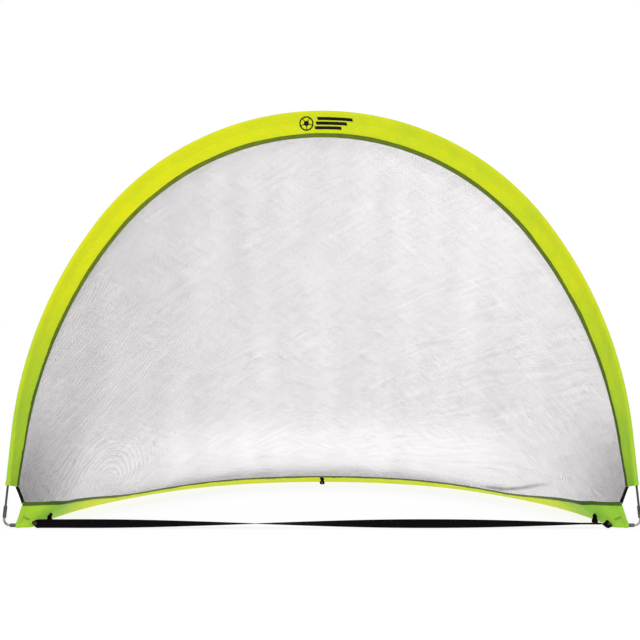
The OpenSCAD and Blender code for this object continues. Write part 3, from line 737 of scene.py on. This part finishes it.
def make_seam_strip(host, seed):
    """The net's hem folded over the sleeve's seam edge: wide on the front, narrow on the back."""
    rail = host.rail(np.linspace(-1, 1, 660) * (1 - 0.0006 / host.half))
    profile = [(-SEAM_W, 0.0001, 1), (-SEAM_W - 0.0001, 0.0009, 1), (-0.0105, 0.0012, 1),
               (-0.0060, 0.0009, 1), (-0.0022, 0.0012, 1), (0.0008, 0.0010, 1),
               (0.0014, 0.0002, 1), (0.0014, 0.0002, -1),
               (0.0008, 0.0008, -1), (-0.0004, 0.0010, -1), (-0.0040, 0.0010, -1), (-0.0042, 0.0003, -1),
               (-0.0006, 0.0002, -1), (0.0004, 0.0000, -1), (0.0004, 0.0001, 1)]
    ripple = waves(rail.length, np.zeros_like(rail.length), 0.018, seed) * 0.00020
    drift = waves(rail.length, np.ones_like(rail.length), 0.15, seed + 1) * 0.0007
    over_hem = 0.0013 * (1 - smooth(rail.at, 0.011, 0.018))
    rows = []
    for p, off, side in profile:
        inset = rail.width + min(p, 0) + (drift if p < -0.008 else 0)
        skin = cloth_lift(rail.length, rail.at, inset, rail.width, side, host.seed)
        rows.append(rail.flat(inset + max(p, 0), skin + side * (off + over_hem + ripple * (off > 0.0008))))
    rings = np.stack(rows, 1)
    across = np.tile([p - 0.03 * (side < 0) for p, _, side in profile], (len(rail.length), 1))
    piece = tube(host.name + "_seam_strip", rings, HEM_MESH, strip_of(rail.length, across),
                 tone=np.clip(sleeve_painted_shading(rings), 0, 1))
    blend_fabric(piece, host.follow(rings.reshape(-1, 3), np.full(rings.size // 3, ARCH_BAND_W)),
                 host.name + "_hem_tape")


def make_stitches(host, inset, name):
    """A row of stitches all along a sleeve, inset from its seam edge."""
    reach = host.half - 0.019
    count = int(2 * reach / STITCH_PITCH)
    length = np.linspace(-reach, reach, count) + rng.normal(0, 0.0002, count)
    rail, ahead = host.at_length(length), host.at_length(length + 0.001)
    place = host.surface(length, rail.width - inset, STITCH_LIFT)
    onward = host.surface(length + 0.001, ahead.width - inset, STITCH_LIFT)
    points, faces = strands(place, unit(onward - place), rail.face,
                            STITCH_PITCH * 0.72, 0.0009, 0.00035)
    piece = mesh_piece(f"{host.name}_seam_stitches_{name}", points, faces, DARK_THREAD)
    blend_fabric(piece, host.follow(points, np.full(len(points), ARCH_BAND_W)))


for host, seed in ((ARCH, 31), (BASE, 37)):
    make_seam_strip(host, seed)
    make_stitches(host, 0.0095, "outer")
    make_stitches(host, 0.0030, "inner")


def clear_of_side_loops(place, margin=0.008):
    """Which points are off the patch of sleeve that a side peg loop sweeps as it swings."""
    clear = np.ones(len(place), bool)
    for word in ("left", "right"):
        low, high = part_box("stake_loop_" + word)
        inside = (place > np.array(low) - margin) & (place < np.array(high) + margin)
        clear &= ~inside.all(axis=1)
    return clear


def make_pocket_stitches(host):
    """The row that closes the rod's pocket, 24 mm in from the rod."""
    reach = host.half - 0.014
    count = int(2 * reach / STITCH_PITCH)
    length = np.linspace(-1, 1, count) * reach
    length = length[clear_of_side_loops(host.surface(length, np.full(count, POCKET_ROW), 0.0001))]
    p = np.full(len(length), POCKET_ROW)
    place, onward = host.surface(length, p, 0.0001), host.surface(length + 0.001, p, 0.0001)
    face = host.at_length(length).face
    points, faces = strands(place, unit(onward - place), face, STITCH_PITCH * 0.7, 0.0007, 0.0003)
    piece = mesh_piece(host.name + "_pocket_stitches", points, faces, LIME_THREAD)
    blend_fabric(piece, host.follow(points, np.full(len(points), POCKET_ROW)))


for host in (ARCH, BASE):
    make_pocket_stitches(host)

# ---------- net
NET_COLUMNS, NET_ROWS = 261, 121
PULL_TOP, PULL_BASE = 0.42, 0.40
SEAM_TUCK = 0.0015
NET_REACH, EDGE_PACK = 0.9985, 1.46


def net_points(share, rows):
    """The net's hang between the two seams: one curve a column, leaving each seam along its band."""
    a, b = ARCH.rail(share), BASE.rail(share)
    top = a.flat(a.width - SEAM_TUCK, np.full_like(share, -0.0004))
    low = b.flat(b.width - SEAM_TUCK, np.full_like(share, -0.0004))
    slack = 0.12 + 0.88 * smooth((1 - np.abs(share)) * BASE_HALF, -0.02, 0.18)
    span = np.linalg.norm(top - low, axis=-1, keepdims=True) * slack[:, None]
    pull_a, pull_b = top + PULL_TOP * span * a.band, low + PULL_BASE * span * b.band
    t = np.linspace(0, 1, rows)[None, :, None]
    s = 1 - t
    return (s ** 3 * top[:, None] + 3 * s * s * t * pull_a[:, None]
            + 3 * s * t * t * pull_b[:, None] + t ** 3 * low[:, None])


def net_cover_and_painted_shade(grid, v):
    """Share of light the yarn stops, with painted light and shade in it: more near the seams, at the sides and
    along the bottom edge, for the net seen at a slant and lying in shade; more at the corners and along a crease
    low on the right, as painted shade; less low in the middle and towards the top right, as painted light.
    """
    x, z = grid[..., 0], grid[..., 2]
    # painted light: less yarn, so lighter, towards the top right
    cover = 0.225 - 0.10 * smooth(x, -0.25, 0.55) * smooth(z, 0.3, 0.9)
    cover += 0.16 * smooth(-x, 0.10, 0.85) + 0.05 * smooth(x, 0.45, 0.85)
    # painted light: lighter low in the middle, where the lit floor shows through
    low = np.exp(-((z - 0.17) / 0.09) ** 2) * (1 - smooth(np.abs(x), 0.42, 0.72))
    cover -= 0.16 * low
    # painted shade: darker along the bottom edge, where the net bunches above the ground seam
    cover += 0.34 * smooth(v, 0.86, 0.97) * (1 - smooth(np.abs(x), 0.40, 0.75))
    cover += 0.04 * np.exp(-(((x + 0.77) / 0.16) ** 2 + ((z - 0.42) / 0.20) ** 2))
    cover -= 0.05 * np.exp(-(((x + 0.68) / 0.12) ** 2 + ((z - 0.13) / 0.07) ** 2))
    cover += 0.10 * smooth(0.035 - v, 0, 0.035)
    # painted shade: a dark crease low on the right, along a fold
    along = np.clip((x - 0.575) / 0.115, 0, 1)
    painted_crease_shade = np.exp(-((z - 0.052 - 0.052 * along) / 0.0065) ** 2) * (x > 0.50) * (along < 1)
    cover += 0.62 * painted_crease_shade * (1 - along) ** 0.7 * smooth(x, 0.50, 0.56)
    # painted shade: darker into the two lower corners
    corner = smooth(np.abs(x), 0.66, 0.88) * (1 - smooth(z, 0.06, 0.42))
    cover += 0.38 * corner + 0.018 * waves(x * 3, z * 0.6, 0.35, 5)
    return np.clip(cover, 0.05, 0.75)


def net_shimmer(grid):
    """Where the two plies of weave beat against each other: a fan of streaks, and arcs low on the left."""
    x, z = grid[..., 0], grid[..., 2]
    fan = 0.25 + 0.75 * smooth(-x, 0.10, 0.50) * smooth(z, 0.16, 0.34) * (1 - smooth(z, 0.75, 1.0))
    arcs = np.exp(-(((x + 0.66) / 0.17) ** 2 + ((z - 0.14) / 0.12) ** 2))
    return fan, arcs


def net_folds(length, drop, v, grid):
    """Drape of the net off its smooth hang: slack ripples, and folds that fan out of the corners."""
    edge = np.minimum(smooth(v, 0, 0.10), smooth(1 - v, 0, 0.10))
    ripple = waves(length, drop * 0.35, 0.24, 41) * 0.0034 + waves(length, drop * 0.2, 0.085, 42) * 0.0012
    folds = ripple * edge
    for corner in (grid[0, -1], grid[-1, -1]):
        away = grid - corner
        reach = np.linalg.norm(away, axis=-1)
        turn = np.arctan2(away[..., 2], np.abs(away[..., 0]) + 1e-6)
        fan = np.sin(turn * 22 + 3 * reach) * smooth(reach, 0.03, 0.14) * (1 - smooth(reach, 0.30, 0.75))
        folds += 0.0042 * fan * edge
    return folds


def make_net():
    even = np.linspace(-1, 1, NET_COLUMNS)
    share = np.sin(even * EDGE_PACK) / math.sin(EDGE_PACK) * NET_REACH
    grid = net_points(share, NET_ROWS)
    v = np.repeat(np.linspace(0, 1, NET_ROWS)[None], NET_COLUMNS, 0)
    normal = unit(np.cross(np.gradient(grid, axis=1), np.gradient(grid, axis=0)))
    length = share[:, None] * (ARCH_HALF * (1 - v) + BASE_HALF * v)
    step = np.linalg.norm(np.diff(grid, axis=1), axis=-1)
    drop = np.concatenate([np.zeros((NET_COLUMNS, 1)), np.cumsum(step, 1)], 1)
    grid = grid + net_folds(length, drop, v, grid)[..., None] * normal
    half_thick = 0.00025
    rings = np.concatenate([grid + half_thick * normal, (grid - half_thick * normal)[:, ::-1]], 1)
    # the cover carries painted light and shade as well as the yarn's share
    cover = net_cover_and_painted_shade(grid, v)
    yarn_share_and_painted_shade = 1 - np.sqrt(1 - cover)

    def both(value, other):
        return np.concatenate([value, other[:, ::-1]], 1)

    # the net is cut from one flat cloth: its weave runs straight across the whole piece
    slope = grid[..., 2] * 0.87 - grid[..., 1] * 0.5
    strip = np.stack([grid[..., 0], slope, np.zeros_like(slope)], -1)
    fan, arcs = net_shimmer(grid)
    piece = tube("net", rings, NET, both(strip, strip), thread=both(yarn_share_and_painted_shade, yarn_share_and_painted_shade),
                 front=both(np.ones_like(cover), np.zeros_like(cover)),
                 fan=both(fan, fan), arcs=both(arcs, arcs))
    blend_fabric(piece, fold_share(rings.reshape(-1, 3)), "net_panel")


make_net()


# ---------- tapes: bindings, strap and loops
def tape_rows(centres, wides, thicks, width, thickness, corner=0.35):
    """Rings of a flat tape with rounded edges; wides and thicks are unit directions at each row."""
    half_w, half_t = np.asarray(width) / 2, thickness / 2
    spots = [(x, 1.0) for x in np.linspace(-0.94, 0.94, 9)] + [(1.0, corner), (1.0, -corner)]
    spots += [(x, -1.0) for x in np.linspace(0.94, -0.94, 9)] + [(-1.0, -corner), (-1.0, corner)]
    rows, across = [], []
    for x, y in spots:
        rows.append(centres + x * np.reshape(half_w, (-1, 1)) * wides + y * half_t * thicks)
        across.append(np.full(len(centres), x) * half_w + (0.05 if y < 0 else 0))
    return np.stack(rows, 1), np.stack(across, 1)


def tape_strip(centres, across):
    """Fabric coordinates of a tape, measured along its centre line."""
    step = np.linalg.norm(np.diff(centres, axis=0), axis=1)
    return strip_of(np.concatenate([[0], np.cumsum(step)]), across)


def make_corner_binding(side):
    """Ribbed tape folded over the net's cut edge between the two sleeve mouths, with its stitching."""
    word = "left" if side < 0 else "right"
    columns = net_points(np.array([NET_REACH, 0.985]) * side, 90)
    edge, inner = columns[0], columns[1]
    along = unit(np.gradient(edge, axis=0))
    out = edge - inner
    out = unit(out - (out * along).sum(-1, keepdims=True) * along)
    face = np.cross(along, out)
    wave = waves(np.linspace(0, 0.1, 90), np.zeros(90), 0.05, 61 + side)[:, None] * 0.0006
    centres = edge + 0.0030 * out + wave * face
    rows, across = tape_rows(centres, out, face, 0.0092, 0.0024)
    piece = tube(f"corner_binding_tape_{word}", rows, BINDING, tape_strip(centres, across))
    blend_fabric(piece, fold_share(rows.reshape(-1, 3)), f"corner_binding_{word}")
    line, run, off = (np.tile(v[4:-4:4], (2, 1)) for v in (edge + 0.0008 * out, along, face))
    off[len(off) // 2:] *= -1
    points, faces = strands(line + 0.00125 * off, run, off, 0.0032, 0.0008, 0.0003)
    piece = mesh_piece(f"corner_binding_stitches_{word}", points, faces, DARK_THREAD)
    blend_fabric(piece, fold_share(points))


STRAP_W, STRAP_T = 0.025, 0.0016
STRAP_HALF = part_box("front_strap")[1].x
STRAP_QUARTER = 0.490
STRAP_Z = STRAP_W / 2 + 0.0001


def strap_frame(x):
    """Centre, width direction and face of the strap at x: it stands on edge, lies flat, and so round."""
    turn = 90 - 90 * np.clip((x + STRAP_QUARTER + 0.240) / STRAP_QUARTER, 0, 3)
    turn = np.radians(turn - 90 * smooth(x, STRAP_HALF - 0.030, STRAP_HALF - 0.008))
    front = -(POCKET_R + 0.0006 + STRAP_T / 2) * smooth(np.abs(x), STRAP_HALF - 0.022, STRAP_HALF - 0.008)
    centres = np.stack([x, HINGE_Y + front, np.full_like(x, STRAP_Z)], -1)
    zero, sin, cos = np.zeros_like(x), np.sin(turn), np.cos(turn)
    return centres, np.stack([zero, cos, sin], -1), np.stack([zero, -sin, cos], -1)


def make_front_strap():
    """The ground strap across the mouth, twisted as it was sewn, with its ends folded to a point."""
    x = np.linspace(-STRAP_HALF, STRAP_HALF, 520)
    centres, wides, thicks = strap_frame(x)
    taper = 0.30 + 0.70 * smooth(STRAP_HALF - np.abs(x), 0.0, 0.014)
    left_lift, right_drop = 0.0035, 0.004
    centres[:, 2] += (left_lift * (1 - smooth(x + STRAP_HALF, 0.0, 0.016))
                      - right_drop * (1 - smooth(STRAP_HALF - x, 0, 0.016)))
    rows, across = tape_rows(centres, wides, thicks, STRAP_W * taper, STRAP_T)
    piece = tube("front_strap_webbing", rows, STRAP, tape_strip(centres, across))
    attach(piece, "base")
    dress("front_strap")


def make_bartack(side):
    """Dense zigzag stitching that runs from the strap's folded end up over the corner of the sleeve."""
    word = "left" if side < 0 else "right"
    count = 15
    at = np.linspace(0.030, 0.009, count)
    p = np.linspace(0.017, 0.028, count)
    length = side * (BASE_HALF - at)
    zigzag = np.where(np.arange(count) % 2 == 0, 1, -1)
    place = BASE.surface(length, p + zigzag * 0.0022, 0.0003)
    step = np.gradient(place, axis=0)
    rail = BASE.at_length(length)
    lay = unit(step + zigzag[:, None] * 0.0027 * rail.band)
    points, faces = strands(place, lay, rail.face, 0.0052, 0.0012, 0.0006)
    end, _, _ = strap_frame(np.full(5, side * (STRAP_HALF - 0.004)) - side * np.linspace(0, 0.008, 5))
    front = np.array([0.0, -1.0, 0.0])
    bars, more = strands(end + front * (STRAP_T / 2 + 0.0003) + np.array([0, 0, 0.0015]),
                         np.repeat([[0.0, 0.0, 1.0]], 5, 0), np.repeat(front[None], 5, 0),
                         0.0095, 0.0012, 0.0005)
    faces += [tuple(k + len(points) for k in f) for f in more]
    share = np.concatenate([BASE.follow(points, np.repeat(p, 30)), np.zeros(len(bars))])
    points = np.concatenate([points, bars])
    piece = mesh_piece(f"bartack_stitching_{word}", points, faces, BROWN_THREAD)
    blend_fabric(piece, share, f"strap_bartack_{word}")


LOOP_W, LOOP_T = 0.015, 0.0015
LOOP_BORE = 0.0046


def make_peg_loop(word):
    """Webbing folded into a loop: two plies down from the rolled edge, round an eye, and back."""
    joint = LOOP_JOINTS[word]
    mount = next(m for m in frame["record"]["mounts"] if m["name"] == f"stake_eye_{word}")
    pivot, eye = np.array(joint["pos_m"]), np.array(mount["pos_m"])
    width_way, peg_way = np.array(joint["axis"]), np.array(mount["axis"])
    down = np.array([0.0, 0.0, -1.0])
    out_way = np.cross(width_way, down)
    tilt = peg_way[2] / abs(peg_way @ width_way) * np.sign(peg_way @ width_way)
    fall = pivot[2] - eye[2]
    r = LOOP_BORE + LOOP_T / 2
    path = []
    for s in np.linspace(0, 1, 12)[:-1]:
        spread = LOOP_T * 0.55 + (r * 0.80 - LOOP_T * 0.55) * smooth(s, 0.45, 1.0)
        path.append((spread, s * (fall - 0.55 * r)))
    for a in np.linspace(math.radians(33), math.radians(-213), 26):
        path.append((r * math.cos(a), fall - r * math.sin(a)))
    half = path[:11]
    path += [(-x, y) for x, y in half[::-1]]
    path = np.array(path)
    centres = pivot + path[:, :1] * out_way + path[:, 1:] * down
    run = unit(np.gradient(centres, axis=0))
    thick = np.cross(run, width_way)
    rows, across = tape_rows(centres, np.repeat(width_way[None], len(path), 0), thick, LOOP_W, LOOP_T)
    slope = ((rows - pivot) @ width_way) * tilt * smooth(path[:, 1] / fall, 0.3, 1.0)[:, None]
    rows = rows + slope[..., None] * np.array([0.0, 0.0, 1.0])
    rows[..., 2] = np.maximum(rows[..., 2], 0.0002)
    piece = tube(f"peg_loop_webbing_{word}", rows, STRAP, tape_strip(centres, across))
    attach(piece, f"{word}_loop")
    dress(f"stake_loop_{word}")


def make_loop_anchor(word, length, p, tuck):
    """The loop's sewn end: a folded tab of webbing from the band's face down to the rolled edge."""
    joint = LOOP_JOINTS[word]
    pivot, width_way = np.array(joint["pos_m"]), np.array(joint["axis"])
    rail = BASE.at_length(np.full(7, length))
    band, face = rail.band[0], rail.face[0]
    root = BASE.surface(np.array([length]), np.array([p]), 0.0009)[0]
    far = BASE.surface(np.array([length]), np.array([p + tuck]), 0.0009)[0]
    hang = np.linspace(0, 1, 9)[:, None]
    pull = root - 0.004 * band + 0.001 * face
    lower = (1 - hang) ** 2 * root + 2 * hang * (1 - hang) * pull + hang ** 2 * pivot
    centres = np.concatenate([far + (root - far) * np.linspace(0, 1, 6)[:-1, None], lower])
    run = unit(np.gradient(centres, axis=0))
    wide = unit(width_way - (run @ width_way)[:, None] * run)
    rows, across = tape_rows(centres, wide, np.cross(run, wide), LOOP_W + 0.002, 0.0038)
    piece = tube(f"peg_loop_tab_{word}", rows, STRAP, tape_strip(centres, across))
    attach(piece, "base")
    dress()


for side in (-1, 1):
    make_corner_binding(side)
    make_bartack(side)
make_front_strap()
SIDE_LOOP_AT = 0.100
SIDE_LOOP_IN, REAR_LOOP_IN = 0.038, 0.066
for word in ("left", "right", "rear"):
    make_peg_loop(word)
make_loop_anchor("left", -(BASE_HALF - SIDE_LOOP_AT), SIDE_LOOP_IN, 0.005)
make_loop_anchor("right", BASE_HALF - SIDE_LOOP_AT, SIDE_LOOP_IN, 0.001)
make_loop_anchor("rear", 0.0, REAR_LOOP_IN, 0.004)


# ---------- emblem
EMBLEM_CENTRE = np.array([-0.049, 0.030])
RING_IN, RING_OUT, BALL_PATCH = 0.0180, 0.0220, 0.0095
SPOKE_HALF = 0.0012
BAR_START, BAR_LENGTHS = -0.019, (0.108, 0.096, 0.084)
BAR_W, BAR_PITCH, BAR_SLANT = 0.0095, 0.0140, -0.30


def make_emblem():
    """A plain ball and three speed bars, printed on the crown of the arch."""
    turn = np.linspace(0, math.tau, 73)
    grids = []

    def polar(inner, outer, rows, shape=lambda a: 1.0):
        radius = np.linspace(inner, outer, rows)
        reach = np.array([shape(a) for a in turn])
        x = EMBLEM_CENTRE[0] + radius[:, None] * (reach * np.sin(turn))[None]
        y = EMBLEM_CENTRE[1] + radius[:, None] * (reach * np.cos(turn))[None]
        grids.append(np.stack([x, y], -1))

    def five_sided(a):
        corner = math.tau / 5
        return math.cos(corner / 2) / math.cos((a % corner) - corner / 2)

    polar(RING_IN, RING_OUT, 3)
    polar(0.0004, BALL_PATCH, 6, five_sided)
    for k in range(5):
        a = math.tau * k / 5
        way, side = np.array([math.sin(a), math.cos(a)]), np.array([math.cos(a), -math.sin(a)])
        s, w = np.meshgrid(np.linspace(0.0090, 0.0184, 6), np.linspace(-SPOKE_HALF, SPOKE_HALF, 3),
                           indexing="ij")
        grids.append(EMBLEM_CENTRE + s[..., None] * way + w[..., None] * side)
    for k, reach in enumerate(BAR_LENGTHS):
        s, w = np.meshgrid(np.linspace(0, 1, 40), np.linspace(-0.5, 0.5, 6), indexing="ij")
        lean = (w * BAR_W + (1 - k) * BAR_PITCH) * BAR_SLANT
        grids.append(np.stack([BAR_START + s * reach - lean,
                               EMBLEM_CENTRE[1] + (k - 1) * BAR_PITCH + w * BAR_W], -1))
    points, faces, strip = slabs(grids, 0.00035, 0.0006, ARCH.surface)
    piece = mesh_piece("crown_emblem_print", points, faces, INK, strip)
    blend_fabric(piece, ARCH.follow(points, strip[:, 1]), "crown_badge")


make_emblem()

# ---------- rods and steel
FINISHES = (
    (("arch_rod", "base_rod"), glass_fibre()),
    (("corner_elbow",), plated_steel("plated_elbow_steel", (0.42, 0.43, 0.42), (0.13, 0.135, 0.13), 0.30)),
    (("arch_ferrule", "base_knuckle"),
     plated_steel("dull_ferrule_steel", (0.15, 0.16, 0.145), (0.045, 0.05, 0.043), 0.42)))
for node in frame["nodes"]:
    for starts, material in FINISHES:
        if node.startswith(starts):
            slots = bpy.data.objects[node].data.materials
            slots.clear()
            slots.append(material)


# ---------- stage, light and camera
def make_stage():
    """A pale floor, and a sky that lights softly and looks white to the camera."""
    bpy.ops.mesh.primitive_plane_add(size=60, location=(0, 0, -0.0005))
    floor = bpy.context.object
    floor.name = "floor"
    g = Graph("pale_floor")
    place = g.node("TexCoord").outputs["Object"]
    tint = g.ramp(g.noise(place, 1.5), [(0.0, (0.175, 0.175, 0.175)), (1.0, (0.185, 0.185, 0.185))])
    floor.data.materials.append(g.surface(g.principled({
        "Base Color": tint, "Roughness": 0.95, "Specular IOR Level": 0.0,
        "Emission Color": (1, 1, 1, 1), "Emission Strength": 0.84})))
    world = bpy.data.worlds.new("studio")
    world.use_nodes = True
    tree = world.node_tree
    light, seen = tree.nodes["Background"], tree.nodes.new("ShaderNodeBackground")
    for background, strength in ((light, 0.74), (seen, 1.0)):
        background.inputs["Color"].default_value = (1, 1, 1, 1)
        background.inputs["Strength"].default_value = strength
    path, mix = tree.nodes.new("ShaderNodeLightPath"), tree.nodes.new("ShaderNodeMixShader")
    tree.links.new(path.outputs["Is Camera Ray"], mix.inputs[0])
    tree.links.new(light.outputs[0], mix.inputs[1])
    tree.links.new(seen.outputs[0], mix.inputs[2])
    tree.links.new(mix.outputs[0], tree.nodes["World Output"].inputs["Surface"])
    bpy.context.scene.world = world


def soft_sun(name, way, strength, spread):
    light = bpy.data.lights.new(name, "SUN")
    light.energy, light.angle = strength, math.radians(spread)
    lamp = bpy.data.objects.new(name, light)
    lamp.rotation_euler = Vector(way).to_track_quat("-Z", "Y").to_euler()
    bpy.context.scene.collection.objects.link(lamp)


make_stage()
soft_sun("key", (0.15, 0.75, -0.80), 0.75, 50)
soft_sun("fill", (-0.40, 0.70, -0.40), 0.25, 60)

EYE_DISTANCE, EYE_HEIGHT, EYE_PITCH = 4.0, 0.646, 0.74
camera = bpy.data.cameras.new("photo_view")
camera.lens, camera.sensor_width, camera.shift_x = 78.9, 36.0, -0.0034
eye = bpy.data.objects.new("photo_view", camera)
eye.location = (0.0, HINGE_Y - EYE_DISTANCE, EYE_HEIGHT)
eye.rotation_euler = (math.radians(90 - EYE_PITCH), 0, 0)
bpy.context.scene.collection.objects.link(eye)
bpy.context.scene.camera = eye
bpy.context.scene.view_settings.view_transform = "Standard"
